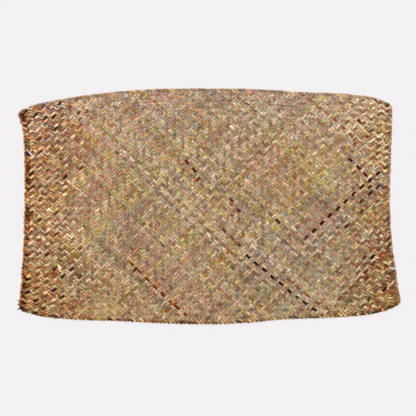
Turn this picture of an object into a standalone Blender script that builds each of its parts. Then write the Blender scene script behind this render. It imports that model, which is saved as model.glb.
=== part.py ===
"""A seagrass mat, plaited on the bias from flat strips and folded over at its four sides.

It lies flat with +X along its length and +Z up. The origin is under its middle, on the surface it lies on.
"""

import math

import bmesh
import bpy
import numpy as np

MM = 0.001
OBJECT_NAME = "seagrass_mat"
MAT_NODE = "mat"

# Thickness of the plaiting, in mm: two strips over each other, and three along the folded sides.
BODY_THICKNESS = 2.4
END_EXTRA = 0.4
END_REACH = 120.0
RIM_EXTRA = 0.5
RIM_WIDTH = 5.0
RIM_SOFTNESS = 3.0
EDGE_HEIGHT = 1.0
EDGE_ROUNDING = 1.4
CORNER_RADIUS = 15.0

# The sheet starts as a straight grid of this size in mm, which is then drawn to the four sides.
GRID_LENGTH = 740.0
GRID_WIDTH = 430.0
# Distances from a side, in mm, of the grid lines that shape the rim. Past the last one they are even.
RIM_LINES = (0.0, 0.5, 1.4, 3.5, 6.0, 9.0, 13.0, 18.0)
GRID_SPACING = 14.0

# The four sides, corner to corner, in mm from the middle of the mat. The long sides bow out and the
# ends draw in.
TOP_SIDE = (
    # x, y
    (-373.0, 186.0),
    (-345.0, 197.0),
    (-300.0, 207.5),
    (-237.0, 218.0),
    (-174.0, 225.0),
    (-105.0, 229.5),
    (-5.0, 230.5),
    (90.0, 229.5),
    (184.0, 223.5),
    (278.0, 219.0),
    (325.0, 211.5),
    (356.0, 200.0),
)
BOTTOM_SIDE = (
    # x, y
    (-374.5, -204.0),
    (-330.0, -215.0),
    (-268.0, -222.5),
    (-174.0, -224.0),
    (-65.0, -229.0),
    (10.0, -230.0),
    (75.0, -226.5),
    (137.0, -219.5),
    (247.0, -215.5),
    (309.0, -211.5),
    (346.0, -204.0),
    (376.0, -192.0),
)
LEFT_SIDE = (
    # y, x
    (-204.0, -376.5),
    (-150.0, -368.5),
    (-104.0, -365.0),
    (-58.0, -363.0),
    (15.0, -361.5),
    (106.0, -363.0),
    (150.0, -367.0),
    (186.0, -374.5),
)
RIGHT_SIDE = (
    # y, x
    (-192.0, 378.0),
    (-160.0, 368.5),
    (-120.0, 362.5),
    (-75.0, 356.0),
    (-20.0, 352.5),
    (60.0, 352.5),
    (120.0, 354.5),
    (200.0, 356.0),
)

# The slow cockle of a mat that was rolled up: waves along x and y in mm, their height and their start.
COCKLES = (
    # length in x, length in y, height, phase in radians
    (310.0, 900.0, 0.14, 0.4),
    (-170.0, 260.0, 0.10, 2.1),
    (120.0, 205.0, 0.07, 4.0),
    (95.0, -150.0, 0.05, 1.3),
)

STRAW_COLOR = (0.402, 0.258, 0.141, 1.0)
STRAW_ROUGHNESS = 0.62
SHARP_ANGLE = math.radians(50.0)


def smooth_through(table, place):
    """The value at a place on the smooth curve through a table of (place, value) rows."""
    places = np.array([row[0] for row in table])
    values = np.array([row[1] for row in table])
    slopes = np.gradient(values, places)
    place = min(max(place, places[0]), places[-1])
    i = min(int(np.searchsorted(places, place, side="right")) - 1, len(places) - 2)
    span = places[i + 1] - places[i]
    t = (place - places[i]) / span
    start = (1 + 2 * t) * (1 - t) ** 2 * values[i] + t * (1 - t) ** 2 * span * slopes[i]
    end = t * t * (3 - 2 * t) * values[i + 1] + t * t * (t - 1) * span * slopes[i + 1]
    return float(start + end)


def along(table, share):
    """The value that a side's table gives at a share of the way from its first row to its last."""
    first, last = table[0][0], table[-1][0]
    return smooth_through(table, first + (last - first) * share)


def round_corner(across, up):
    """Draws a place near a corner in to a round one. Both values run from -1 to 1 over the mat."""
    half_length, half_width = GRID_LENGTH / 2.0 / CORNER_RADIUS, GRID_WIDTH / 2.0 / CORNER_RADIUS
    side = 1.0 - (1.0 - abs(across)) * half_length
    end = 1.0 - (1.0 - abs(up)) * half_width
    if side <= 0.0 or end <= 0.0:
        return across, up
    rounded_side = side * math.sqrt(1.0 - end * end / 2.0)
    rounded_end = end * math.sqrt(1.0 - side * side / 2.0)
    across = math.copysign(abs(across) + (rounded_side - side) / half_length, across)
    up = math.copysign(abs(up) + (rounded_end - end) / half_width, up)
    return across, up


def outline_point(across, up):
    """The place in mm of a point of the mat, given as -1 to 1 across its length and up its width."""
    across, up = round_corner(across, up)
    u, v = (across + 1.0) / 2.0, (up + 1.0) / 2.0
    x = along(LEFT_SIDE, v) * (1.0 - u) + along(RIGHT_SIDE, v) * u
    y = along(BOTTOM_SIDE, u) * (1.0 - v) + along(TOP_SIDE, u) * v
    return x, y


def soft_step(value, start, end):
    """0 before start and 1 after end, with a soft slope between."""
    t = min(max((value - start) / (end - start), 0.0), 1.0)
    return t * t * (3.0 - 2.0 * t)


def surface_height(x, y, from_side, from_end):
    """The height in mm of the upper surface, from a place and its distances from the sides and ends."""
    edge = min(from_side, from_end)
    height = BODY_THICKNESS + END_EXTRA * (1.0 - soft_step(from_end, 0.0, END_REACH))
    height += RIM_EXTRA * (1.0 - soft_step(edge, RIM_WIDTH, RIM_WIDTH + RIM_SOFTNESS))
    for length_x, length_y, rise, phase in COCKLES:
        height += rise * math.sin(math.tau * (x / length_x + y / length_y) + phase)
    if edge < EDGE_ROUNDING:
        dip = 1.0 - edge / EDGE_ROUNDING
        height -= (height - EDGE_HEIGHT) * (1.0 - math.sqrt(1.0 - dip * dip))
    return height


def grid_lines(length):
    """Distances along a side, in mm: close together in each rim and even between them."""
    inner = length - 2.0 * RIM_LINES[-1]
    count = round(inner / GRID_SPACING)
    middle = [RIM_LINES[-1] + inner * i / count for i in range(1, count)]
    return [*RIM_LINES, *middle, *(length - d for d in reversed(RIM_LINES))]


def straw_material():
    material = bpy.data.materials.new("seagrass_straw")
    material.use_nodes = True
    shader = material.node_tree.nodes["Principled BSDF"]
    shader.inputs["Base Color"].default_value = STRAW_COLOR
    shader.inputs["Roughness"].default_value = STRAW_ROUGHNESS
    shader.inputs["Metallic"].default_value = 0.0
    return material


def make_mat(collection):
    """One closed sheet: a grid drawn to the outline and the rim, with a flat underside."""
    columns, rows = grid_lines(GRID_LENGTH), grid_lines(GRID_WIDTH)
    bm = bmesh.new()
    bmesh.ops.create_grid(bm, x_segments=len(columns) - 1, y_segments=len(rows) - 1, size=1.0)
    for vertex in bm.verts:
        column = columns[round((vertex.co.x + 1.0) / 2.0 * (len(columns) - 1))]
        row = rows[round((vertex.co.y + 1.0) / 2.0 * (len(rows) - 1))]
        x, y = outline_point(2.0 * column / GRID_LENGTH - 1.0, 2.0 * row / GRID_WIDTH - 1.0)
        from_side = min(row, GRID_WIDTH - row)
        from_end = min(column, GRID_LENGTH - column)
        height = surface_height(x, y, from_side, from_end)
        vertex.co = (x * MM, y * MM, height * MM)

    rim = [edge for edge in bm.edges if edge.is_boundary]
    bmesh.ops.extrude_edge_only(bm, edges=rim)
    foot = [edge for edge in bm.edges if edge.is_boundary]
    for edge in foot:
        for vertex in edge.verts:
            vertex.co.z = 0.0
    bmesh.ops.contextual_create(bm, geom=foot)

    lows = [min(v.co[axis] for v in bm.verts) for axis in (0, 1)]
    highs = [max(v.co[axis] for v in bm.verts) for axis in (0, 1)]
    middle = [(low + high) / 2.0 for low, high in zip(lows, highs)]
    bmesh.ops.translate(bm, verts=bm.verts, vec=(-middle[0], -middle[1], 0.0))
    bmesh.ops.recalc_face_normals(bm, faces=bm.faces)

    mesh = bpy.data.meshes.new(MAT_NODE)
    bm.to_mesh(mesh)
    bm.free()
    mesh.shade_smooth()
    mesh.set_sharp_from_angle(angle=SHARP_ANGLE)
    mesh.materials.append(straw_material())
    mat = bpy.data.objects.new(MAT_NODE, mesh)
    collection.objects.link(mat)
    return mat


def main():
    for thing in list(bpy.data.objects):
        bpy.data.objects.remove(thing, do_unlink=True)
    collection = bpy.data.collections.new(OBJECT_NAME)
    bpy.context.scene.collection.children.link(collection)
    make_mat(collection)


main()
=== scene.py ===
"""A plaited seagrass mat: its strips, their folds at the sides, a few loose ends, the floor and the light.

Every strip is a flat leaf of its own. Rising strips run up to the right and falling strips run down to
the right, each over two and under two. Places on the plait are counted in lines, half a cell apart:
`across` from the left end and `up` from the lower side. The sheet is drawn to the mat's four sides.
"""

import math

import bmesh
import bpy
import numpy as np
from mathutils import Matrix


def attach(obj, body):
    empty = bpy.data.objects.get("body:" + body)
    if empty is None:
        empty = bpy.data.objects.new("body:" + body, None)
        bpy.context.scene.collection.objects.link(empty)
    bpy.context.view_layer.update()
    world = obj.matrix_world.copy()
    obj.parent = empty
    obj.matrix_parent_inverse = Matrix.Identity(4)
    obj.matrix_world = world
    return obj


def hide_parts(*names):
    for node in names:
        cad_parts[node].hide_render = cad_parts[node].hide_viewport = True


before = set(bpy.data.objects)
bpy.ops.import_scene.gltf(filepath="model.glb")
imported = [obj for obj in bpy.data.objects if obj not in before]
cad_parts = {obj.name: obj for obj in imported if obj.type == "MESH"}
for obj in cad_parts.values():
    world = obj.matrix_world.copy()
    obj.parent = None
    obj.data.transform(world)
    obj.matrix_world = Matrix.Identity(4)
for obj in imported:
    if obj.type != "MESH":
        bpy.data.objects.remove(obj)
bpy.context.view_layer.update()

MM = 0.001

# The plait: its lines across and up, the strips' widths as shares of their pitch, and sizes in mm.
COLUMNS = 186
ROWS = 128
STRIP_PITCH = 5.25
RISING_WIDTH = 0.9
FALLING_WIDTH = 1.0
STRIP_THICKNESS = 0.95
LAYER_HEIGHT = 0.62
LOWEST = 0.14
END_LIFT = 0.55

# In a band along each long side the twill turns by a quarter. The bands' heights, in lines, and how far
# they stay from the ends, at the side itself and more with each line inwards.
TOP_BAND = 18
TOP_BAND_LEFT = (25.0, 2.0)
TOP_BAND_RIGHT = (12.0, 0.5)
BOTTOM_BAND = 14
BOTTOM_BAND_ENDS = 22

# Half the mat's length and width in mm, for distances from its ends and its long sides.
HALF_LENGTH = 374.0
HALF_WIDTH = 230.0

# Towards the ends the plait grows coarser: of every two strips one is wider and higher than the other, with
# painted light on the higher strips and painted shade on the lower ones.
# This is full up to the first distance from an end, in mm, and gone past the second.
LEFT_REACH = (30.0, 190.0)
RIGHT_REACH = (20.0, 140.0)
END_STRIPS = {
    # (falling, even-numbered): change of width, height and lightness at the left end, then at the right;
    # the lightness is painted light on the higher strips and painted shade on the lower ones
    (False, True): ((0.36, 0.80, 0.16), (0.24, 0.60, 0.15)),
    (False, False): ((-0.28, -0.40, -0.50), (-0.22, -0.30, -0.32)),
    (True, True): ((-0.08, 0.10, 0.04), (-0.20, -0.20, -0.20)),
    (True, False): ((-0.14, -0.10, -0.03), (0.06, 0.40, 0.15)),
}
# Where a strip is darker there, as painted shade, how much of that each of its floats takes, and how often.
SHADES = ((0.45, 1.0, 1.9, 3.8), (0.46, 0.31, 0.15, 0.08))
# Where it is lighter, as painted light, the least and the most that a float takes of that.
LIGHT_SHARES = (0.2, 1.8)
# The least that is left of a float's light, and the most that it gets.
DARKEST = 0.06
BRIGHTEST = 1.36

# How far apart the lines are, from the left end to the right one and from the lower side to the upper.
COLUMN_WIDTHS = (
    # share of the lines, relative distance
    (0.00, 1.08),
    (0.08, 1.06),
    (0.16, 1.02),
    (0.27, 0.97),
    (0.40, 1.00),
    (0.52, 0.955),
    (0.65, 0.99),
    (0.80, 1.03),
    (0.94, 1.01),
    (1.00, 0.97),
)
ROW_WIDTHS = (
    # share of the lines, relative distance
    (0.00, 0.93),
    (0.10, 0.93),
    (0.125, 1.03),
    (0.84, 1.03),
    (0.87, 0.88),
    (1.00, 0.86),
)

# The four sides, corner to corner, in mm from the middle of the mat.
TOP_SIDE = (
    # x, y
    (-373.0, 186.0),
    (-345.0, 197.0),
    (-300.0, 207.5),
    (-237.0, 218.0),
    (-174.0, 225.0),
    (-105.0, 229.5),
    (-5.0, 230.5),
    (90.0, 229.5),
    (184.0, 223.5),
    (278.0, 219.0),
    (325.0, 211.5),
    (356.0, 200.0),
)
BOTTOM_SIDE = (
    # x, y
    (-371.0, -201.5),
    (-330.0, -212.5),
    (-268.0, -219.0),
    (-174.0, -222.5),
    (-65.0, -227.5),
    (10.0, -228.5),
    (75.0, -225.5),
    (137.0, -219.5),
    (247.0, -215.0),
    (309.0, -209.5),
    (346.0, -200.5),
    (372.0, -188.0),
)
LEFT_SIDE = (
    # y, x
    (-201.5, -372.0),
    (-150.0, -368.0),
    (-104.0, -364.5),
    (-58.0, -362.5),
    (15.0, -361.0),
    (106.0, -361.5),
    (150.0, -365.0),
    (186.0, -374.5),
)
RIGHT_SIDE = (
    # y, x
    (-188.0, 373.0),
    (-160.0, 367.0),
    (-120.0, 361.5),
    (-75.0, 355.0),
    (-20.0, 351.0),
    (60.0, 351.0),
    (120.0, 353.0),
    (200.0, 355.0),
)
# The round corners, worked out on a straight sheet of this size in mm before it is drawn to the sides.
GRID_LENGTH = 740.0
GRID_WIDTH = 430.0
CORNER_RADIUS = 9.0
# The corner's formula holds up to the square root of 2.
CORNER_LIMIT = 1.4

# The slow cockle of a mat that was rolled up: waves along x and y in mm, their height and their start.
COCKLES = (
    # length in x, length in y, height, phase in radians
    (310.0, 900.0, 0.14, 0.4),
    (-170.0, 260.0, 0.10, 2.1),
    (120.0, 205.0, 0.07, 4.0),
    (95.0, -150.0, 0.05, 1.3),
)

# Places where strips wander sideways, in mm: waves along x and y and how far they push.
WANDER = (
    # length in x, length in y, push in x, push in y, phase in radians
    (83.0, 131.0, 0.35, -0.25, 0.9),
    (-57.0, 92.0, 0.25, 0.30, 2.7),
    (41.0, -63.0, -0.20, 0.22, 4.4),
    (-29.0, -37.0, 0.16, 0.16, 5.6),
)
# They wander in full this many lines from the sides, and less nearer to them.
CALM_LINES = 6.0

# Colours of the dried leaf as seen in daylight, 0 to 255, and how often each turns up.
LEAF_TONES = (
    # red, green, blue, share
    (204, 168, 134, 0.23),
    (210, 158, 136, 0.20),
    (172, 165, 142, 0.15),
    (192, 179, 106, 0.13),
    (216, 180, 96, 0.10),
    (186, 116, 80, 0.08),
    (228, 206, 178, 0.07),
    (134, 94, 76, 0.04),
)
# The share of such a colour that is the leaf's own.
DAYLIGHT = 0.88
# Each leaf mixes two tones: the share of the second.
FAR_TONE_SHARE = 0.36
# The darker a float, by its leaf and by painted shade, the redder: what it loses of its red, green and
# blue.
DARK_TINT = np.array([-0.05, 0.20, 0.28])
# Floats near the ends with painted shade turn maroon: how much, at most, how unevenly, and what they lose.
MAROON_SHARE = 1.3
MOST_MAROON = 1.1
MAROON_SPREAD = (0.5, 1.3)
MAROON_TINT = np.array([-0.20, 0.44, 0.55])
# Some other floats near the ends are orange: how often, how much, and what they lose.
ORANGE_SHARE = 0.16
ORANGE_SPREAD = (0.4, 1.0)
ORANGE_TINT = np.array([-0.1, 0.30, 0.62])
# Colours of the leaf where it is bent round the mat's sides.
BENT_LEAF_TONES = (
    # red, green, blue, share
    (200, 132, 78, 0.28),
    (226, 190, 134, 0.24),
    (164, 104, 70, 0.20),
    (92, 52, 34, 0.14),
    (44, 30, 24, 0.05),
    (190, 168, 92, 0.09),
)
# How strongly the folds have those colours, between which cells from the side they fade, and how light
# they are. Each strip's fold has a random share of that strength.
LOWER_FOLD = (1.0, 1.3, 2.1, 1.14)
UPPER_FOLD = (0.45, 1.3, 2.1, 1.0)
LEFT_FOLD = (1.0, 0.5, 1.1, 1.8)
RIGHT_FOLD = (0.8, 0.4, 0.9, 1.15)
FOLD_SPREAD = (0.45, 1.0)

# Bands of like strips that run across the mat, as one bundle of leaves was used up after another.
BANDS = (
    # falling, strip, from and to in cells along it, half-width in strips, lightness, red, yellow
    (False, -28.5, 26.0, 90.0, 5.0, 0.20, -0.035, 0.04),
    (False, -8.5, 10.0, 108.0, 6.0, 0.11, -0.06, 0.11),
    (False, 28.5, 88.0, 148.0, 5.0, 0.06, 0.0, 0.11),
    (False, 36.0, 36.0, 138.0, 4.0, 0.07, -0.03, 0.10),
    (False, 46.0, 52.0, 126.0, 7.0, -0.15, 0.045, -0.09),
    (False, 62.5, 58.0, 126.0, 4.0, 0.12, -0.05, 0.10),
    (True, 33.0, -40.0, 42.0, 8.0, 0.07, -0.04, 0.08),
    (True, 44.5, -6.0, 50.0, 6.0, -0.17, 0.06, -0.09),
    (True, 63.5, -44.0, 68.0, 5.0, 0.06, -0.03, 0.13),
    (True, 70.0, 50.0, 76.0, 2.5, 0.26, -0.04, 0.05),
    (True, 86.0, -46.0, -22.0, 3.0, -0.22, 0.07, -0.11),
    (True, 99.0, 56.0, 92.0, 7.0, -0.10, 0.04, 0.04),
    (True, 116.5, -6.0, 74.0, 5.0, 0.04, -0.09, 0.15),
)
BAND_FADE = 12.0
# The bands between those, which only vary a little: where they start and their size, in strips and in
# cells, how many there are each way, and how much they vary.
FIRST_STRIP = -75.0
FIRST_CELL = -90.0
BAND_STRIPS = 5.0
BAND_CELLS = 30.0
BAND_KNOTS = (50, 16)
BAND_LIGHTNESS = 0.07
BAND_YELLOW = 0.03

# How the leaf's lightness, red and yellow change: over the whole mat, from each side inwards, and in
# patches.
UPWARD_LIGHTNESS = 0.09
WHOLE_RED = 0.01
WHOLE_YELLOW = 0.005
SIDE_CHANGES = (
    # side in x and y, reach in mm, lightness, red, yellow
    (-1, 0, 240.0, 0.055, 0.085, 0.03),
    (1, 0, 120.0, 0.0, 0.01, 0.07),
    (0, -1, 200.0, 0.0, 0.02, 0.05),
    (0, 1, 120.0, 0.0, -0.01, -0.07),
)
PATCHES = (
    # x, y, reach in x and y, lightness, red, yellow
    (-350.0, 195.0, 90.0, 80.0, 0.0, -0.03, -0.12),
    (-350.0, 30.0, 80.0, 150.0, 0.0, 0.0, 0.03),
    (-350.0, -200.0, 70.0, 90.0, -0.08, 0.03, 0.05),
    (-230.0, -120.0, 70.0, 130.0, 0.06, -0.02, 0.0),
    (-130.0, -235.0, 260.0, 70.0, -0.04, 0.03, 0.0),
    (0.0, -240.0, 390.0, 70.0, -0.06, 0.01, 0.03),
    (140.0, -160.0, 110.0, 120.0, 0.0, -0.05, -0.07),
    (350.0, 30.0, 60.0, 260.0, 0.13, 0.0, 0.03),
    (60.0, 200.0, 300.0, 70.0, 0.0, 0.0, -0.03),
    (362.0, -188.0, 46.0, 40.0, -0.16, 0.06, 0.06),
)


def smooth_through(table, places):
    """Values at places on the smooth curve through a table of (place, value) rows."""
    rows = np.array(table)
    slopes = np.gradient(rows[:, 1], rows[:, 0])
    places = np.clip(places, rows[0, 0], rows[-1, 0])
    i = np.clip(np.searchsorted(rows[:, 0], places, side="right") - 1, 0, len(rows) - 2)
    span = rows[i + 1, 0] - rows[i, 0]
    t = (places - rows[i, 0]) / span
    start = (1 + 2 * t) * (1 - t) ** 2 * rows[i, 1] + t * (1 - t) ** 2 * span * slopes[i]
    end = t * t * (3 - 2 * t) * rows[i + 1, 1] + t * t * (t - 1) * span * slopes[i + 1]
    return start + end


def along_side(table, share):
    """The value that a side's table gives at a share of the way from its first row to its last."""
    first, last = table[0][0], table[-1][0]
    return smooth_through(table, first + (last - first) * share)


def soft_step(value, start, end):
    """0 before start and 1 after end, with a soft slope between."""
    t = np.clip((value - start) / (end - start), 0.0, 1.0)
    return t * t * (3.0 - 2.0 * t)


def line_shares(widths, count):
    """The share of the way at each line, from one line before the first to one after the last."""
    table = np.array(widths)
    middles = (np.arange(-1, count + 1) + 0.5) / count
    steps = np.interp(middles, table[:, 0], table[:, 1])
    places = np.concatenate([[0.0], np.cumsum(steps)])
    return (places - places[1]) / (places[-2] - places[1])


COLUMN_SHARES = line_shares(COLUMN_WIDTHS, COLUMNS)
ROW_SHARES = line_shares(ROW_WIDTHS, ROWS)


def round_corner(across, up):
    """Draws places near a corner in to a round one. Both values run from -1 to 1 over the mat."""
    half_length, half_width = GRID_LENGTH / 2.0 / CORNER_RADIUS, GRID_WIDTH / 2.0 / CORNER_RADIUS
    side = np.clip(1.0 - (1.0 - np.abs(across)) * half_length, 0.0, CORNER_LIMIT)
    end = np.clip(1.0 - (1.0 - np.abs(up)) * half_width, 0.0, CORNER_LIMIT)
    pull_side = side * (np.sqrt(1.0 - end * end / 2.0) - 1.0) / half_length
    pull_end = end * (np.sqrt(1.0 - side * side / 2.0) - 1.0) / half_width
    return across + np.sign(across) * pull_side, up + np.sign(up) * pull_end


def outline_place(across, up):
    """Places in mm, given as -1 to 1 across the mat's length and up its width."""
    across, up = round_corner(across, up)
    u, v = (across + 1.0) / 2.0, (up + 1.0) / 2.0
    x = along_side(LEFT_SIDE, v) * (1.0 - u) + along_side(RIGHT_SIDE, v) * u
    y = along_side(BOTTOM_SIDE, u) * (1.0 - v) + along_side(TOP_SIDE, u) * v
    return x, y


def outline_middle():
    """The middle of the outline's own box in mm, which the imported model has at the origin."""
    walk = np.linspace(-1.0, 1.0, 400)
    edge = np.ones_like(walk)
    across = np.concatenate([walk, walk, edge, -edge])
    up = np.concatenate([edge, -edge, walk, walk])
    x, y = outline_place(across, up)
    return (x.min() + x.max()) / 2.0, (y.min() + y.max()) / 2.0


MIDDLE_X, MIDDLE_Y = outline_middle()


def plait_place(across, up):
    """Places in mm of points of the plait, given in lines across and up."""
    share_across = np.interp(across, np.arange(-1, COLUMNS + 2), COLUMN_SHARES)
    share_up = np.interp(up, np.arange(-1, ROWS + 2), ROW_SHARES)
    x, y = outline_place(2.0 * share_across - 1.0, 2.0 * share_up - 1.0)
    x, y = x - MIDDLE_X, y - MIDDLE_Y
    from_edge = np.minimum(np.minimum(across, COLUMNS - across), np.minimum(up, ROWS - up))
    calm = soft_step(from_edge, 0.0, CALM_LINES)
    push_x, push_y = np.zeros_like(x), np.zeros_like(y)
    for length_x, length_y, by_x, by_y, phase in WANDER:
        wave = np.sin(math.tau * (x / length_x + y / length_y) + phase)
        push_x += by_x * wave
        push_y += by_y * wave
    return x + push_x * calm, y + push_y * calm


def cockle(x, y):
    """How far the sheet stands off the floor, in mm, never below it."""
    height = sum(wave[2] for wave in COCKLES)
    for length_x, length_y, rise, phase in COCKLES:
        height = height + rise * np.sin(math.tau * (x / length_x + y / length_y) + phase)
    return height


def rising_on_top(across, up):
    """Where the rising strip is the upper one. The twill turns by a quarter in both side bands."""
    from_top, from_right = ROWS - up, COLUMNS - across
    past_left = across > TOP_BAND_LEFT[0] + TOP_BAND_LEFT[1] * from_top
    past_right = from_right > TOP_BAND_RIGHT[0] + TOP_BAND_RIGHT[1] * from_top
    in_top = (from_top < TOP_BAND) & past_left & past_right
    in_bottom = (up < BOTTOM_BAND) & (across > BOTTOM_BAND_ENDS) & (from_right > BOTTOM_BAND_ENDS)
    field = np.isin(across % 4, (3, 0))
    field = np.where(in_top, np.isin(from_top % 4, (0, 3)), field)
    field = np.where(in_bottom, np.isin(up % 4, (0, 3)), field)
    return field & (up > 0) & (from_top > 0)


def strip_limits(falling, number):
    """Where a strip starts and ends along itself, in cells. The number may be a place across it."""
    if falling:
        return np.maximum(-number, number - ROWS), np.minimum(COLUMNS - number, number)
    return np.abs(number), np.minimum(COLUMNS - number, ROWS + number)


def lines_at(falling, number, along):
    """The lines across and up at a place along a strip."""
    return number + along, number - along if falling else along - number


# The rows of a strip's end, from the tip inwards: cells from the end, how far the row follows the side's
# slant, and its height as a share of the layer's. An upper strip curls round the side over a lower one.
UPPER_END = (
    # cells, slant, height
    (0.16, 1.0, -0.95),
    (-0.02, 1.0, -0.45),
    (-0.02, 1.0, 0.45),
    (0.14, 0.92, 1.0),
    (0.42, 0.5, 1.1),
)
LOWER_END = (
    # cells, slant, height
    (0.22, 1.0, -0.9),
    (0.45, 0.5, -1.0),
)
# A strip's section, once round it: cells to the side, as a share of its width, and thickness up or down.
SECTION = (
    # side, thickness
    (-0.50, 0.0),
    (-0.41, 0.5),
    (0.41, 0.5),
    (0.50, 0.0),
    (0.36, -0.5),
    (-0.36, -0.5),
    (-0.50, 0.0),
)
# How much nearer to the plait's middle plane a strip's edges lie, and where across it they start.
EDGE_DIP = 0.10
EDGE_START = 0.4
# How much narrower an upper strip is in its fold.
END_NARROWING = 0.24
# Along the lower side the falling strips' folds stand apart like a rope's turns, over wide rising ones:
# change of width by whether the strip falls, and the lines between which that fades.
ROPE_WIDENING = {True: -0.24, False: 0.16}
ROPE_REACH = (1.4, 2.6)
# How far a fold may stand out or stay back, in cells.
RAGGED = 0.17

# A strip has a row on either side of each crossing, this many cells from it, give or take a little.
ROW_STEP = 0.3
ROW_JITTER = 0.1
# Heights of those rows as shares of the layer's: along a float and next to a dive, and how they vary.
FLOAT_HEIGHT = 1.1
DIVE_HEIGHT = 0.82
HEIGHT_SPREAD = (0.85, 1.1)
# A falling strip is creased in mid float, between the two strips under it: its height there, how dark the
# painted shade in the crease is, and how that varies.
CREASE_HEIGHT = 0.85
CREASE_SHADE = 1.3
CREASE_SPREAD = (0.3, 1.2)

# How a strip's width, height and place wander: cells between random values, and how much.
WIDTH_WANDER = (1.5, 0.08)
HEIGHT_WANDER = (3.0, 0.05)
PLACE_WANDER = (2.0, 0.05)
# How much more the width wanders, and how much deeper the shadows are, where the plait is coarse.
COARSE_WANDER = 1.2
COARSE_DEPTH = 0.5
# Height in mm of the plane that the strips weave about.
MIDDLE_HEIGHT = LOWEST + FLOAT_HEIGHT * LAYER_HEIGHT + STRIP_THICKNESS / 2.0


def strip_rows(rng, falling, number):
    """The rows of one strip: cells along it, slants at start and end, height, number of float, crease."""
    first, last = (int(limit) for limit in strip_limits(falling, number))
    cells = np.arange(first, last + 1)
    across, up = lines_at(falling, number, cells)
    rising = rising_on_top(across, up)
    level = np.where(rising != falling, 1.0, -1.0)
    rows = []
    ragged = rng.uniform(-RAGGED, RAGGED, 2)
    end = UPPER_END if level[0] > 0 else LOWER_END
    rows += [(first + ragged[0] + gap, slant, 0.0, height, 0, 0.0) for gap, slant, height in end]
    floats = np.concatenate([[0], np.cumsum(level[1:] != level[:-1])])
    for k in range(1, len(cells) - 1):
        for step, neighbour in ((-ROW_STEP, k - 1), (ROW_STEP, k + 1)):
            height = level[k] * (FLOAT_HEIGHT if level[neighbour] == level[k] else DIVE_HEIGHT)
            along = cells[k] + step + rng.uniform(-ROW_JITTER, ROW_JITTER)
            rows.append((along, 0.0, 0.0, height * rng.uniform(*HEIGHT_SPREAD), floats[k], 0.0))
            if falling and step > 0.0 and level[k] > 0.0 and level[k + 1] > 0.0:
                crease = CREASE_SHADE * rng.uniform(*CREASE_SPREAD)
                rows.append((cells[k] + 0.5, 0.0, 0.0, CREASE_HEIGHT, floats[k], crease))
    end = UPPER_END if level[-1] > 0 else LOWER_END
    for gap, slant, height in reversed(end):
        rows.append((last - ragged[1] - gap, 0.0, slant, height, floats[-1], 0.0))
    return np.array(rows)


def slow_values(rng, places, spacing, spread):
    """Values that wander slowly along a strip, with a new random one every `spacing` cells."""
    knots = np.arange(places.min() - spacing, places.max() + 2 * spacing, spacing)
    return np.interp(places, knots, rng.normal(0.0, spread, len(knots)))


def linear(tone):
    """A daylight colour from 0 to 255 as the leaf's own colour in linear light."""
    return (np.array(tone) / 255.0) ** 2.2 * DAYLIGHT


def tones_and_shares(table):
    """The colours of a table of leaf tones, and how often each turns up."""
    shares = np.array([row[3] for row in table])
    return np.array([linear(row[:3]) for row in table]), shares / shares.sum()


TONES, TONE_SHARES = tones_and_shares(LEAF_TONES)
BENT_TONES, BENT_SHARES = tones_and_shares(BENT_LEAF_TONES)
# Painted shade on the ends of the strips that lie under the folds.
UNDER_FOLD_SHADE = linear((62, 36, 24))
# The lightest floats, made light by their leaf and by painted light, turn paler towards this tone: how
# much, and the most.
PALE_LEAF = linear((200, 184, 152))
PALE_SHARE = 2.2
MOST_PALE = 0.8
# A strip keeps its colour for a long stretch, up to where a new leaf is spliced in: lengths in cells.
RISING_LEAF = 28.0
FALLING_LEAF = 42.0
SHORTEST_LEAF = 3.0
# How leaves vary in lightness, the share of dark ones and how dark they are.
LEAF_LIGHTNESS = 0.11
DARK_LEAF_SHARE = 0.12
DARK_LEAF = 0.30
# How much each float of a leaf has a tone of its own, how it varies in lightness, and how much more near
# the ends.
FLOAT_SHARE = 0.07
FLOAT_LIGHTNESS = 0.05
END_LIGHTNESS = 0.10

# Stretches of leaf that stand out.
ODD_LEAVES = (
    # falling, strip, from and to in cells along it, red, green, blue, lightness from float to float
    (False, 49, 92.0, 96.0, 116, 56, 36, 0.2),
    (False, 49, 96.5, 134.0, 72, 14, 9, 0.3),
    (False, 53, 116.0, 129.0, 90, 28, 18, 0.3),
    (True, 76, 23.0, 34.0, 120, 88, 62, 0.4),
    (True, 75, 36.0, 84.0, 60, 29, 19, 0.35),
    (True, 84, -4.0, 3.5, 112, 24, 10, 0.35),
    (False, 5, 81.0, 84.5, 146, 50, 24, 0.1),
    (True, 86, 17.0, 21.0, 120, 46, 26, 0.2),
    (True, 85, 22.0, 26.0, 116, 48, 34, 0.2),
    (True, 82, 23.5, 24.2, 20, 10, 8, 0.1),
    (True, 55, -3.6, -2.8, 26, 16, 12, 0.1),
    (False, 32, 66.0, 81.0, 180, 108, 38, 0.15),
    (True, 140, 28.0, 33.0, 140, 46, 20, 0.1),
    (True, 138, 35.0, 39.0, 156, 72, 40, 0.1),
    (True, 127, 36.0, 48.0, 84, 30, 20, 0.3),
    (False, 13, 40.0, 44.0, 116, 44, 22, 0.1),
    (False, 32, 37.5, 45.0, 172, 92, 34, 0.1),
    (True, 43, 9.0, 38.0, 140, 72, 42, 0.4),
    (False, 73, 82.0, 110.0, 156, 88, 48, 0.35),
    (False, 56, 106.0, 109.0, 88, 58, 44, 0.1),
    (False, 56, 113.0, 117.0, 104, 62, 42, 0.1),
    (True, 92, 36.0, 39.0, 80, 40, 32, 0.1),
    (True, 80, 6.0, 23.0, 216, 182, 104, 0.1),
)


def at_ends(x):
    """1 at the left end and 0 away from it, and the same for the right end."""
    left = 1.0 - soft_step(HALF_LENGTH + x, *LEFT_REACH)
    right = 1.0 - soft_step(HALF_LENGTH - x, *RIGHT_REACH)
    return left, right


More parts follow.
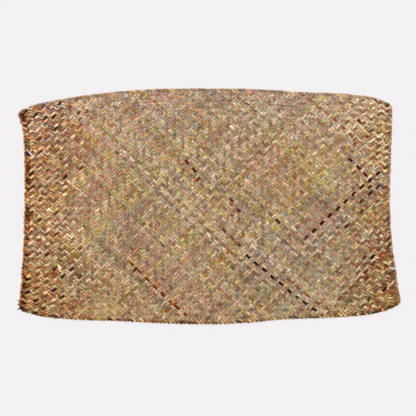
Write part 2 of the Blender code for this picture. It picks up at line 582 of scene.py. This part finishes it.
def changed(look, share, changes):
    """A look, which is how light, red and yellow the leaf is, with a share of these changes."""
    return [value + share * change for value, change in zip(look, changes)]


def look_factors(light, red, yellow):
    """Factors for red, green and blue that give a leaf this look."""
    return light[:, None] * np.stack([1.0 + red, 1.0 - 0.5 * red, 1.0 - red - yellow], axis=1)


def tone_by_place(x, y):
    """Factors for red, green and blue, from how lightness, red and yellow change at these places."""
    look = (1.0 + UPWARD_LIGHTNESS * y / HALF_WIDTH, WHOLE_RED, WHOLE_YELLOW)
    for side_x, side_y, reach, *changes in SIDE_CHANGES:
        inwards = abs(side_x) * HALF_LENGTH + abs(side_y) * HALF_WIDTH - side_x * x - side_y * y
        look = changed(look, 1.0 - soft_step(inwards, 0.0, reach), changes)
    for patch_x, patch_y, reach_x, reach_y, *changes in PATCHES:
        share = np.exp(-((x - patch_x) / reach_x) ** 2 - ((y - patch_y) / reach_y) ** 2)
        look = changed(look, share, changes)
    return look_factors(*look)


def band_knots(seed):
    """Random lightness and yellow for the soft bands of one direction."""
    return np.random.default_rng(seed).normal(0.0, 1.0, (2, *BAND_KNOTS))


KNOTS = {False: band_knots(21), True: band_knots(22)}


def bands(falling, number, along):
    """Factors for red, green and blue, from the bands that a strip lies in."""
    place = (number - FIRST_STRIP) / BAND_STRIPS
    line = int(place)
    knots = KNOTS[falling]
    row = knots[:, line] * (1.0 - place + line) + knots[:, line + 1] * (place - line)
    cells = np.arange(BAND_KNOTS[1]) * BAND_CELLS + FIRST_CELL
    light = 1.0 + BAND_LIGHTNESS * np.interp(along, cells, row[0])
    yellow = BAND_YELLOW * np.interp(along, cells, row[1])
    look = (light, np.zeros_like(along), yellow)
    for band_falling, strip, start, end, half_width, *changes in BANDS:
        if band_falling == falling and abs(number - strip) < half_width:
            share = 1.0 - (abs(number - strip) / half_width) ** 2
            share = share * soft_step(along, start, start + BAND_FADE)
            share = share * (1.0 - soft_step(along, end - BAND_FADE, end))
            look = changed(look, share, changes)
    return look_factors(*look)


# Inside the folded ends a groove is painted dark, as the shade in it: the lines from the end between which
# it comes and then goes, and how dark it is.
LEFT_GROOVE = ((0.7, 1.2), (2.2, 3.2), 0.88)
RIGHT_GROOVE = ((0.7, 1.2), (1.8, 3.0), 0.5)
# How dark the painted shade on its floats is and how often, and what the shaded and the bright ones lose.
GROOVE_SHADES = ((0.0, 0.7, 1.25), (0.34, 0.24, 0.42))
GROOVE_SHADE_TINT = np.array([0.82, 0.94, 0.97])
GROOVE_BRIGHT_TINT = np.array([-0.25, 0.05, 0.40])


def groove_colors(rng, color, across, floats, count):
    """A strip's row colours with the groove's painted shade: most of its floats dark and some bright."""
    inside = np.zeros_like(across)
    for from_end, (coming, going, darkness) in ((across, LEFT_GROOVE), (COLUMNS - across, RIGHT_GROOVE)):
        share = soft_step(from_end, *coming) * (1.0 - soft_step(from_end, *going))
        inside = np.maximum(inside, share * darkness)
    shade = rng.choice(GROOVE_SHADES[0], count, p=GROOVE_SHADES[1])[floats]
    dark = np.minimum(inside * shade, 1.0)[:, None]
    bright = (inside * (shade == 0.0))[:, None]
    return color * (1.0 - dark * GROOVE_SHADE_TINT) * (1.0 - bright * GROOVE_BRIGHT_TINT)


def is_upper(slant):
    """Whether the end with these slants is an upper one, which has more rows than a lower one."""
    return np.count_nonzero(slant) > len(LOWER_END)


def fold_at(across, up):
    """The fold of the side that a strip ends at, given in lines across and up."""
    if up < 1.0:
        return LOWER_FOLD
    if up > ROWS - 1.0:
        return UPPER_FOLD
    return LEFT_FOLD if across < 1.0 else RIGHT_FOLD


def fold_colors(rng, color, falling, number, rows):
    """A strip's row colours with its two ends: bent leaf on an upper one, painted shade on a lower one."""
    along = rows[:, 0]
    for slant, near in ((rows[:, 1], along - along.min()), (rows[:, 2], along.max() - along)):
        strength, start, end, lighter = fold_at(*lines_at(falling, number, along[near.argmin()]))
        bent = ((1.0 - soft_step(near, start, end)) * strength * rng.uniform(*FOLD_SPREAD))[:, None]
        # A lower end gets painted shade.
        tone = UNDER_FOLD_SHADE
        if is_upper(slant):
            tone = BENT_TONES[rng.choice(len(BENT_TONES), p=BENT_SHARES)]
        color = color * (1.0 - bent) + tone * lighter * bent
    return color


def leaves_along(rng, along, length):
    """The tone and the lightness of the leaf at each row of a strip, which changes at its splices."""
    leaf = np.zeros((len(along), 3))
    light = np.zeros(len(along))
    place = along.min() - rng.uniform(0.0, length)
    while place < along.max():
        reach = place + SHORTEST_LEAF + rng.exponential(length - SHORTEST_LEAF)
        here = (along >= place) & (along < reach)
        near, far = TONES[rng.choice(len(TONES), 2, p=TONE_SHARES)]
        leaf[here] = near * (1.0 - FAR_TONE_SHARE) + far * FAR_TONE_SHARE
        light[here] = rng.normal(0.0, LEAF_LIGHTNESS) - DARK_LEAF * (rng.random() < DARK_LEAF_SHARE)
        place = reach
    return leaf, light


def strip_leaves(rng, falling, number, along, floats, count):
    """The tone and lightness of a strip's leaf at each row, and 1 where it is plain or 0 where it isn't."""
    leaf, light = leaves_along(rng, along, FALLING_LEAF if falling else RISING_LEAF)
    plain = np.ones(len(along))
    for odd_falling, odd_number, start, end, *tone, unevenness in ODD_LEAVES:
        if (odd_falling, odd_number) == (falling, number):
            odd = (along >= start) & (along <= end)
            leaf[odd] = linear(tone)
            light[odd] = unevenness * rng.uniform(-1.0, 1.0, count)[floats[odd]]
            plain[odd] = 0.0
    return leaf, light, plain[:, None]


def strip_colors(rng, falling, number, rows, across, x, y, ends, painted_light_change):
    """A colour for each row: the leaf's tone with a little of each float's own, changed by place, with
    painted light and shade near the ends, and painted shade in the groove and under the folds.
    """
    along, floats = rows[:, 0], rows[:, 4].astype(int)
    count = floats.max() + 1
    leaf, leaf_light, plain = strip_leaves(rng, falling, number, along, floats, count)
    own = TONES[rng.choice(len(TONES), count, p=TONE_SHARES)][floats]
    own_share = FLOAT_SHARE * plain
    color = leaf * (1.0 - own_share) + own * own_share
    spread = FLOAT_LIGHTNESS + END_LIGHTNESS * ends
    light = np.exp(leaf_light + spread * rng.normal(0.0, 1.0, count)[floats])
    # Near the ends each float takes a share of its strip's painted light and shade.
    darker_by = rng.choice(SHADES[0], count, p=SHADES[1])[floats]
    lighter_by = rng.uniform(*LIGHT_SHARES, count)[floats]
    change = painted_light_change * np.where(painted_light_change < 0.0, darker_by, lighter_by)
    light = np.minimum(light * np.maximum(1.0 + change, DARKEST), BRIGHTEST)[:, None]
    pale = np.clip(PALE_SHARE * (light - 1.0), 0.0, MOST_PALE) * plain
    color = color * (1.0 - pale) + PALE_LEAF * pale
    color = color * light * tone_by_place(x, y) * bands(falling, number, along)
    # Darker floats turn redder, and the painted shade near the ends turns maroon.
    color = color * (1.0 - np.clip(1.0 - light, 0.0, 1.0) * DARK_TINT)
    maroon = np.clip(-MAROON_SHARE * change, 0.0, MOST_MAROON) * rng.uniform(*MAROON_SPREAD, count)[floats]
    color = color * (1.0 - maroon[:, None] * MAROON_TINT)
    is_orange = (rng.random(count) < ORANGE_SHARE)[floats]
    orange = ends * is_orange * rng.uniform(*ORANGE_SPREAD, count)[floats]
    color = color * (1.0 - orange[:, None] * ORANGE_TINT)
    color = groove_colors(rng, color, across, floats, count)
    return fold_colors(rng, color, falling, number, rows)


def draw_strip(bm, layers, rng, falling, number, order):
    """One strip, as a grid rolled to its section and laid along its way. Returns its flat area in mm2."""
    rows = strip_rows(rng, falling, number)
    along, at_start, at_end, height = rows[:, 0], rows[:, 1], rows[:, 2], rows[:, 3]
    across, up = lines_at(falling, number, along)
    x, y = plait_place(across, up)
    left, right = at_ends(x)
    # Near the ends the strips change in width and height, and in lightness, which is painted light on the
    # higher strips and painted shade on the lower ones.
    changes = zip(*END_STRIPS[falling, number % 2 == 0])
    wider, higher, lighter = (left * at_left + right * at_right for at_left, at_right in changes)
    coarse = np.maximum(left, right)
    colors = strip_colors(rng, falling, number, rows, across, x, y, coarse, lighter)
    width = FALLING_WIDTH if falling else RISING_WIDTH
    wander = slow_values(rng, along, *WIDTH_WANDER) * (1.0 + COARSE_WANDER * coarse)
    width = width * (1.0 + wider) * (1.0 + wander)
    rope = 1.0 - soft_step(up, *ROPE_REACH)
    upper_ends = sum(slant for slant in (at_start, at_end) if is_upper(slant))
    width = width * (1.0 - END_NARROWING * upper_ends) * (1.0 + ROPE_WIDENING[falling] * rope)
    z = height * LAYER_HEIGHT * (1.0 + higher) * (1.0 + slow_values(rng, along, *HEIGHT_WANDER))
    # How deep each row lies below the float's top, with its crease: the material paints shade there.
    below_top = FLOAT_HEIGHT * LAYER_HEIGHT * (1.0 + np.maximum(higher, 0.0)) - z
    depth = below_top * (1.0 + COARSE_DEPTH * coarse) + rows[:, 5]
    path = np.stack([np.gradient(along * STRIP_PITCH), np.gradient(z)], axis=1)
    path /= np.maximum(np.linalg.norm(path, axis=1), 1e-6)[:, None]
    shift = slow_values(rng, along, *PLACE_WANDER) * (1.0 + coarse)

    first, last = strip_limits(falling, number)
    grid = bmesh.ops.create_grid(bm, x_segments=len(rows) - 1, y_segments=len(SECTION) - 1, size=1.0)
    places = []
    for side, thickness in SECTION:
        lane = number + side * width + shift
        start, end = strip_limits(falling, lane)
        thick = thickness * STRIP_THICKNESS
        reach = along + at_start * (start - first) + at_end * (end - last)
        reach = reach - path[:, 1] * thick / STRIP_PITCH
        lane_across, lane_up = lines_at(falling, lane, reach)
        lane_x, lane_y = plait_place(lane_across, lane_up)
        dip = EDGE_DIP if abs(side) > EDGE_START else 0.0
        lane_z = z * (1.0 - dip) + path[:, 0] * thick
        lane_z += cockle(lane_x, lane_y) + MIDDLE_HEIGHT + END_LIFT * coarse
        places.append(np.stack([lane_x, lane_y, lane_z], axis=1) * MM)

    for n, vertex in enumerate(grid["verts"]):
        around, row = divmod(n, len(rows))
        vertex.co = places[around][row]
        vertex[layers["color"]] = (*colors[row], 1.0)
        vertex[layers["across"]] = SECTION[around][0]
        vertex[layers["depth"]] = depth[row]
        vertex[layers["coarse"]] = max(coarse[row], rope[row])
        vertex[layers["row"]] = along[row] * STRIP_PITCH * MM
        vertex[layers["round"]] = around
        vertex[layers["order"]] = order
    return float((last - first) * STRIP_PITCH * STRIP_PITCH * width.mean())


# Loose slivers and ends of leaf that lie on the plait.
LOOSE_ENDS = (
    # x, y, turn in degrees, length, width, droop at the far end in mm, red, green, blue
    (-355.5, 110.5, -46.0, 18.0, 3.4, 0.2, 255, 250, 252),
    (309.0, -5.0, 44.0, 16.0, 1.8, 0.2, 246, 238, 228),
    (350.0, -119.0, -14.0, 11.0, 2.6, 0.2, 255, 246, 236),
    (346.0, -158.0, 42.0, 14.0, 1.7, 0.2, 244, 230, 206),
    (-365.0, -189.0, 192.0, 9.5, 3.8, 2.2, 150, 66, 48),
    (-363.0, -195.0, 206.0, 12.5, 3.4, 2.6, 74, 32, 22),
    (-366.0, -184.0, 172.0, 8.0, 3.4, 2.0, 168, 88, 60),
)
LOOSE_ROWS = 7
# Their height over the floor and their thickness in mm, how far they may curve, as a share of their
# length, how much narrower they are at the far end, and how light they may be.
LOOSE_HEIGHT = 3.8
LOOSE_THICKNESS = 0.5
LOOSE_BOW = 0.06
LOOSE_TAPER = 0.7
LOOSE_LIGHT = (0.9, 1.0)
# How dark their edges, dirt and painted shade, are beside a strip's.
LOOSE_EDGE = 0.6


def draw_loose_end(bm, layers, rng, order, loose):
    """One loose sliver, rolled to the same section as a strip and a little curved."""
    x, y, turn, length, width, droop, *tone = loose
    steps = np.linspace(0.0, 1.0, LOOSE_ROWS)
    side_x, side_y = -math.sin(math.radians(turn)), math.cos(math.radians(turn))
    bow = rng.uniform(-LOOSE_BOW, LOOSE_BOW) * length * np.sin(math.pi * steps)
    grid = bmesh.ops.create_grid(bm, x_segments=LOOSE_ROWS - 1, y_segments=len(SECTION) - 1, size=1.0)
    color = linear(tone) * rng.uniform(*LOOSE_LIGHT)
    for n, vertex in enumerate(grid["verts"]):
        around, row = divmod(n, LOOSE_ROWS)
        side, thickness = SECTION[around]
        aside = side * width * (1.0 - LOOSE_TAPER * steps[row] ** 3) + bow[row]
        along = length * steps[row]
        vertex.co = (
            (x + along * side_y + aside * side_x) * MM,
            (y - along * side_x + aside * side_y) * MM,
            (LOOSE_HEIGHT + cockle(x, y) - droop * steps[row] ** 2 + LOOSE_THICKNESS * thickness) * MM,
        )
        vertex[layers["color"]] = (*color, 1.0)
        vertex[layers["across"]] = side * LOOSE_EDGE
        vertex[layers["depth"]] = 0.0
        vertex[layers["coarse"]] = 1.0
        vertex[layers["row"]] = along * MM
        vertex[layers["round"]] = around
        vertex[layers["order"]] = order


# The map for the fibres: how far apart in metres the strips lie on it, so that no two have the same.
STRIP_MAP_STEP = 0.1
# The map for the baked textures: its margin, and the gap beside each strip as a share of the strip's place.
BAKE_MARGIN = 0.01
BAKE_GAP = 0.08
# Points this near in metres are one point, and edges over this angle stay sharp.
SAME_PLACE = 1e-7
SHARP_ANGLE = math.radians(38.0)


def add_object(name, data):
    """A new object in the scene."""
    thing = bpy.data.objects.new(name, data)
    bpy.context.scene.collection.objects.link(thing)
    return thing


def add_piece(name, bm, material):
    """A new object from a finished mesh, with its material."""
    mesh = bpy.data.meshes.new(name)
    bm.to_mesh(mesh)
    bm.free()
    mesh.materials.append(material)
    return add_object(name, mesh)


def finish_strips(name, bm, count, material):
    """Closes the strips' seams and ends, maps them, and makes the piece."""
    strip_map = bm.loops.layers.uv.new("Strip")
    bake_map = bm.loops.layers.uv.new("OFBake")
    row_layer = bm.verts.layers.float["along"]
    round_layer = bm.verts.layers.float["round"]
    order_layer = bm.verts.layers.float["order"]
    longest = ROWS * STRIP_PITCH * MM
    first_along = {}
    for vertex in bm.verts:
        order = vertex[order_layer]
        first_along[order] = min(first_along.get(order, 1e9), vertex[row_layer])
    for face in bm.faces:
        for loop in face.loops:
            along = loop.vert[row_layer] - first_along[loop.vert[order_layer]]
            around = loop.vert[round_layer] / (len(SECTION) - 1)
            order = loop.vert[order_layer]
            loop[strip_map].uv = (along, around * 2.0 * STRIP_PITCH * MM + order * STRIP_MAP_STEP)
            bake_along = BAKE_MARGIN + (1.0 - 2.0 * BAKE_MARGIN) * along / longest
            bake_around = order + BAKE_GAP + (1.0 - 2.0 * BAKE_GAP) * around
            loop[bake_map].uv = (bake_along, bake_around / count)
    bmesh.ops.remove_doubles(bm, verts=bm.verts, dist=SAME_PLACE)
    rims = [edge for edge in bm.edges if edge.is_boundary]
    bmesh.ops.holes_fill(bm, edges=rims, sides=0)
    bmesh.ops.recalc_face_normals(bm, faces=bm.faces)
    piece = add_piece(name, bm, material)
    piece.data.shade_smooth()
    piece.data.set_sharp_from_angle(angle=SHARP_ANGLE)
    return piece


def strip_layers(bm):
    """What each point of a strip carries for its material and its maps."""
    floats = bm.verts.layers.float
    return {
        "color": bm.verts.layers.float_color.new("leaf_color"),
        "across": floats.new("across"),
        "depth": floats.new("depth"),
        "coarse": floats.new("coarse"),
        "row": floats.new("along"),
        "round": floats.new("round"),
        "order": floats.new("order"),
    }


def make_loose_ends(name, seed, material):
    """The loose slivers, as one piece."""
    rng = np.random.default_rng(seed)
    bm = bmesh.new()
    layers = strip_layers(bm)
    for order, loose in enumerate(LOOSE_ENDS):
        draw_loose_end(bm, layers, rng, order, loose)
    return finish_strips(name, bm, len(LOOSE_ENDS), material)


def make_strips(name, falling, odd, seed, material):
    """Every second strip of one direction, as one piece, and its flat area in square metres."""
    rng = np.random.default_rng(seed)
    if falling:
        numbers = range(1, (COLUMNS + ROWS) // 2)
    else:
        numbers = range(1 - ROWS // 2, COLUMNS // 2)
    numbers = [number for number in numbers if number % 2 == odd]
    bm = bmesh.new()
    layers = strip_layers(bm)
    area = 0.0
    for order, number in enumerate(numbers):
        area += draw_strip(bm, layers, rng, falling, number, order)
    piece = finish_strips(name, bm, len(numbers), material)
    return piece, area * MM * MM


# Materials

# Noise over a strip's map: its fineness along the strip and across it, its detail and its roughness.
STREAK_NOISE = ((70.0, 480.0), 4.0, 0.65)
MOTTLE_NOISE = ((190.0, 1000.0), 2.0, 0.6)
SPECK_NOISE = ((270.0, 760.0), 1.0)
PATCH_NOISE = ((160.0, 160.0), 2.0)
# The values between which specks, dark edges (dirt and painted shade) and dark dives (painted shade) come
# up.
SPECK_LIMITS = (0.60, 0.70)
EDGE_LIMITS = (0.36, 0.46)
DIVE_LIMITS = (0.6, 1.1)
# Values of the noise from low to high, then how strong the dirt and painted shade are and how light the
# leaf is at both.
DIRT_AND_SHADE_STRENGTH = (0.38, 0.6, 0.35, 1.0)
STREAK_LIGHTNESS = (0.3, 0.7, 0.45, 1.55)
MOTTLE_LIGHTNESS = (0.3, 0.7, 0.72, 1.28)
# How much the specks show in the middle of the mat and at its ends, and what they leave of the colour.
SPECK_STRENGTH = (0.35, 0.1)
SPECK_TINT = (0.22, 0.12, 0.08, 1.0)
# How dark the strips' edges are at the mat's ends, and what the dirt and painted shade leave of the colour.
END_EDGES = 1.5
DIRT_AND_SHADE_TINT = (0.08, 0.032, 0.018, 1.0)
# How strong the fibres' relief is, its height in metres, and how much a leaf shines.
FIBRE_RELIEF = 0.35
FIBRE_HEIGHT = 0.0004
LEAF_SHINE = 0.12


def new_group(name, inputs, outputs):
    """An empty node group with these sockets. Returns it with its input and output nodes."""
    group = bpy.data.node_groups.new(name, "ShaderNodeTree")
    for label, kind, value in inputs:
        socket = group.interface.new_socket(name=label, in_out="INPUT", socket_type=kind)
        if value is not None:
            socket.default_value = value
    for label, kind in outputs:
        group.interface.new_socket(name=label, in_out="OUTPUT", socket_type=kind)
    source = group.nodes.new("NodeGroupInput")
    sink = group.nodes.new("NodeGroupOutput")
    return group, source, sink


def add_node(tree, kind, **settings):
    """A new node with these settings."""
    node = tree.nodes.new(kind)
    for key, value in settings.items():
        setattr(node, key, value)
    return node


def add_math(tree, operation, *values):
    """A Math node on sockets and plain numbers. Returns its result."""
    node = add_node(tree, "ShaderNodeMath", operation=operation)
    for socket, value in zip(node.inputs, values):
        if isinstance(value, float):
            socket.default_value = value
        else:
            tree.links.new(value, socket)
    return node.outputs["Value"]


def add_range(tree, value, start, end, low=0.0, high=1.0):
    """Turns a value that runs from start to end into one from low to high, and no further. Returns it."""
    node = add_node(tree, "ShaderNodeMapRange")
    for label, limit in (("From Min", start), ("From Max", end), ("To Min", low), ("To Max", high)):
        node.inputs[label].default_value = limit
    tree.links.new(value, node.inputs["Value"])
    return node.outputs["Result"]


def add_noise(tree, strip_map, fineness, detail, roughness=0.5):
    """Noise from 0 to 1 over a strip's map, with its fineness along the strip and across it."""
    stretched = add_node(tree, "ShaderNodeVectorMath", operation="MULTIPLY")
    stretched.inputs[1].default_value = (*fineness, 1.0)
    tree.links.new(strip_map, stretched.inputs[0])
    noise = add_node(tree, "ShaderNodeTexNoise", noise_dimensions="2D")
    for label, value in (("Scale", 1.0), ("Detail", detail), ("Roughness", roughness)):
        noise.inputs[label].default_value = value
    tree.links.new(stretched.outputs[0], noise.inputs["Vector"])
    return noise.outputs["Fac"]


def add_tint(tree, share, color, tint):
    """Multiplies a share of a colour by a tint. Returns the colour."""
    node = add_node(tree, "ShaderNodeMix", data_type="RGBA", blend_type="MULTIPLY")
    tree.links.new(share, node.inputs["Factor"])
    tree.links.new(color, node.inputs["A"])
    node.inputs["B"].default_value = tint
    return node.outputs["Result"]


def leaf_fibre_group():
    """Long fibres along a strip, as a mask and a height, and the leaf's short mottles and specks."""
    outputs = [(label, "NodeSocketFloat") for label in ("Streaks", "Mottles", "Specks", "Height")]
    group, source, sink = new_group("leaf_fibres", (("Vector", "NodeSocketVector", None),), outputs)
    strip_map = source.outputs["Vector"]
    streaks = add_noise(group, strip_map, *STREAK_NOISE)
    mottles = add_noise(group, strip_map, *MOTTLE_NOISE)
    specks = add_range(group, add_noise(group, strip_map, *SPECK_NOISE), *SPECK_LIMITS)
    group.links.new(streaks, sink.inputs["Streaks"])
    group.links.new(streaks, sink.inputs["Height"])
    group.links.new(mottles, sink.inputs["Mottles"])
    group.links.new(specks, sink.inputs["Specks"])
    return group


def dirt_and_shade_group():
    """Dark edges of the leaf, dirt and painted shade, and painted shade where a strip dives under the next
    one.
    """
    inputs = (
        ("Vector", "NodeSocketVector", None),
        ("Across", "NodeSocketFloat", 0.0),
        ("Depth", "NodeSocketFloat", 0.0),
        ("Edge", "NodeSocketFloat", 1.0),
    )
    group, source, sink = new_group("leaf_dirt_and_shade", inputs, (("Dirt_and_shade", "NodeSocketFloat"),))
    # The edges darken as dirt and painted shade; the dives and creases darken as painted shade.
    side = add_math(group, "ABSOLUTE", source.outputs["Across"])
    edge = add_math(group, "MULTIPLY", add_range(group, side, *EDGE_LIMITS), source.outputs["Edge"])
    dive = add_range(group, source.outputs["Depth"], *DIVE_LIMITS)
    patches = add_noise(group, source.outputs["Vector"], *PATCH_NOISE)
    strength = add_range(group, patches, *DIRT_AND_SHADE_STRENGTH)
    dirt_and_shade = add_math(group, "MULTIPLY", add_math(group, "MAXIMUM", edge, dive), strength)
    group.links.new(dirt_and_shade, sink.inputs["Dirt_and_shade"])
    return group


def new_material(name):
    """A new material. Returns it with its tree and its shader."""
    material = bpy.data.materials.new(name)
    material.use_nodes = True
    return material, material.node_tree, material.node_tree.nodes["Principled BSDF"]


def leaf_material(name, groups, roughness, edge_darkness):
    """Dried leaf in each strip's own colours, with fibres, mottles, specks, and dirt and painted shade."""
    material, tree, shader = new_material(name)
    link = tree.links.new
    color, across, depth, coarse = (
        add_node(tree, "ShaderNodeAttribute", attribute_name=label)
        for label in ("leaf_color", "across", "depth", "coarse")
    )
    strip_map = add_node(tree, "ShaderNodeUVMap", uv_map="Strip")
    fibres = add_node(tree, "ShaderNodeGroup", node_tree=groups["fibres"])
    link(strip_map.outputs["UV"], fibres.inputs["Vector"])
    streaks = add_range(tree, fibres.outputs["Streaks"], *STREAK_LIGHTNESS)
    mottles = add_range(tree, fibres.outputs["Mottles"], *MOTTLE_LIGHTNESS)
    shaded = add_node(tree, "ShaderNodeVectorMath", operation="SCALE")
    link(color.outputs["Color"], shaded.inputs[0])
    link(add_math(tree, "MULTIPLY", streaks, mottles), shaded.inputs["Scale"])
    speckled = add_range(tree, coarse.outputs["Fac"], 0.0, 1.0, *SPECK_STRENGTH)
    specks = add_math(tree, "MULTIPLY", fibres.outputs["Specks"], speckled)
    spotted = add_tint(tree, specks, shaded.outputs[0], SPECK_TINT)
    # The edges' dirt and painted shade grow darker towards the mat's ends.
    edges = add_range(tree, coarse.outputs["Fac"], 0.0, 1.0, edge_darkness, END_EDGES)
    dirt_and_shade = add_node(tree, "ShaderNodeGroup", node_tree=groups["dirt_and_shade"])
    link(strip_map.outputs["UV"], dirt_and_shade.inputs["Vector"])
    link(across.outputs["Fac"], dirt_and_shade.inputs["Across"])
    link(depth.outputs["Fac"], dirt_and_shade.inputs["Depth"])
    link(edges, dirt_and_shade.inputs["Edge"])
    link(add_tint(tree, dirt_and_shade.outputs["Dirt_and_shade"], spotted, DIRT_AND_SHADE_TINT), shader.inputs["Base Color"])
    bump = add_node(tree, "ShaderNodeBump")
    bump.inputs["Strength"].default_value = FIBRE_RELIEF
    bump.inputs["Distance"].default_value = FIBRE_HEIGHT
    link(fibres.outputs["Height"], bump.inputs["Height"])
    link(bump.outputs["Normal"], shader.inputs["Normal"])
    shader.inputs["Roughness"].default_value = roughness
    shader.inputs["Specular IOR Level"].default_value = LEAF_SHINE
    return material


# Under the mat the floor is painted dark, as the mat's shadow. In metres from the middle: that place's
# sides and how they draw in towards the ends, then its ends, how they flare out below, and how far they lie
# to the left.
DARK_SIDE = 0.222
DARK_SIDE_BOW = 0.27
DARK_END = 0.35375
DARK_END_FLARE = 0.36
DARK_SHIFT = 0.00425
FLOOR_GLOW = (0.80, 0.773, 0.781, 1.0)
FLOOR_COLOR = (0.10, 0.095, 0.097, 1.0)
FLOOR_SHADOW = (0.03, 0.02, 0.015, 1.0)
FLOOR_ROUGHNESS = 0.9
FLOOR_SHINE = 0.1


def floor_material():
    """A pale floor with a glow of its own, which stops under the mat, where the floor is a painted shadow,
    and is all there is from below.
    """
    material, tree, shader = new_material("pale_floor")
    link = tree.links.new
    place = add_node(tree, "ShaderNodeTexCoord")
    parts = add_node(tree, "ShaderNodeSeparateXYZ")
    link(place.outputs["Object"], parts.inputs[0])
    x, y = parts.outputs["X"], parts.outputs["Y"]
    bow = add_math(tree, "MULTIPLY", x, x)
    side = add_math(tree, "MULTIPLY_ADD", bow, DARK_SIDE_BOW, add_math(tree, "ABSOLUTE", y))
    past_side = add_math(tree, "GREATER_THAN", side, DARK_SIDE)
    low = add_math(tree, "MINIMUM", y, 0.0)
    flare = add_math(tree, "MULTIPLY", low, low)
    from_middle = add_math(tree, "ABSOLUTE", add_math(tree, "ADD", x, DARK_SHIFT))
    end = add_math(tree, "MULTIPLY_ADD", flare, -DARK_END_FLARE, from_middle)
    past_end = add_math(tree, "GREATER_THAN", end, DARK_END)
    face = add_node(tree, "ShaderNodeNewGeometry")
    beside = add_math(tree, "MAXIMUM", past_side, past_end)
    shown = add_math(tree, "MAXIMUM", beside, face.outputs["Backfacing"])
    link(shown, shader.inputs["Emission Strength"])
    shader.inputs["Emission Color"].default_value = FLOOR_GLOW
    # Under the mat the floor takes the dark tone, a painted shadow.
    tone = add_node(tree, "ShaderNodeMix", data_type="RGBA")
    link(shown, tone.inputs["Factor"])
    tone.inputs["A"].default_value = FLOOR_SHADOW
    tone.inputs["B"].default_value = FLOOR_COLOR
    link(tone.outputs["Result"], shader.inputs["Base Color"])
    shader.inputs["Roughness"].default_value = FLOOR_ROUGHNESS
    shader.inputs["Specular IOR Level"].default_value = FLOOR_SHINE
    return material


# Floor, light and camera

FLOOR_SIZE = 6.0
# The camera looks straight down on this width of floor, in metres, and on this point of it.
CAMERA_HEIGHT = 2.0
VIEW_WIDTH = 0.8104
VIEW_MIDDLE = (-0.00292, -0.00292)
SENSOR_WIDTH = 36.0
# The room's light, and a sun's, with its width in the sky and its turns about x and y in degrees.
SKY_COLOR = (1.0, 0.84, 0.72, 1.0)
SKY_STRENGTH = 0.30
SUN_COLOR = (0.864, 0.942, 1.0)
SUN_STRENGTH = 4.15
SUN_WIDTH = 6.0
SUN_TURNS = (-42.0, -34.0)


def make_floor():
    """The floor, flat and far wider than the mat."""
    bm = bmesh.new()
    bmesh.ops.create_grid(bm, x_segments=4, y_segments=4, size=FLOOR_SIZE / 2.0)
    floor = add_piece("floor", bm, floor_material())


def make_light():
    """Soft warm light from all round, and a cooler light from one side."""
    world = bpy.data.worlds.new("studio")
    bpy.context.scene.world = world
    world.use_nodes = True
    sky = world.node_tree.nodes["Background"]
    sky.inputs["Color"].default_value = SKY_COLOR
    sky.inputs["Strength"].default_value = SKY_STRENGTH
    data = bpy.data.lights.new("window", "SUN")
    data.energy = SUN_STRENGTH
    data.color = SUN_COLOR
    data.angle = math.radians(SUN_WIDTH)
    light = add_object("window", data)
    light.rotation_euler = (*(math.radians(turn) for turn in SUN_TURNS), 0.0)


def make_camera():
    """The camera over the mat's middle."""
    data = bpy.data.cameras.new("camera")
    data.sensor_width = SENSOR_WIDTH
    data.lens = SENSOR_WIDTH * CAMERA_HEIGHT / VIEW_WIDTH
    camera = add_object("camera", data)
    camera.location = (*VIEW_MIDDLE, CAMERA_HEIGHT)
    bpy.context.scene.camera = camera
    bpy.context.scene.view_settings.view_transform = "Standard"


make_camera()
make_floor()
make_light()

groups = {"fibres": leaf_fibre_group(), "dirt_and_shade": dirt_and_shade_group()}
# The last value is how dark the strips' edges are, dirt and painted shade.
rising_leaf = leaf_material("rising_leaf", groups, 0.55, 0.4)
falling_leaf = leaf_material("falling_leaf", groups, 0.5, 0.55)

pieces = []
for name, falling, odd, seed, material in (
    ("rising_even_strips", False, 0, 11, rising_leaf),
    ("rising_odd_strips", False, 1, 12, rising_leaf),
    ("falling_even_strips", True, 0, 13, falling_leaf),
    ("falling_odd_strips", True, 1, 14, falling_leaf),
):
    piece, area = make_strips(name, falling, odd, seed, material)
    pieces.append(piece)
pieces.append(make_loose_ends("loose_ends", 15, rising_leaf))
for piece in pieces:
    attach(piece, "root")
    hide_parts("mat")
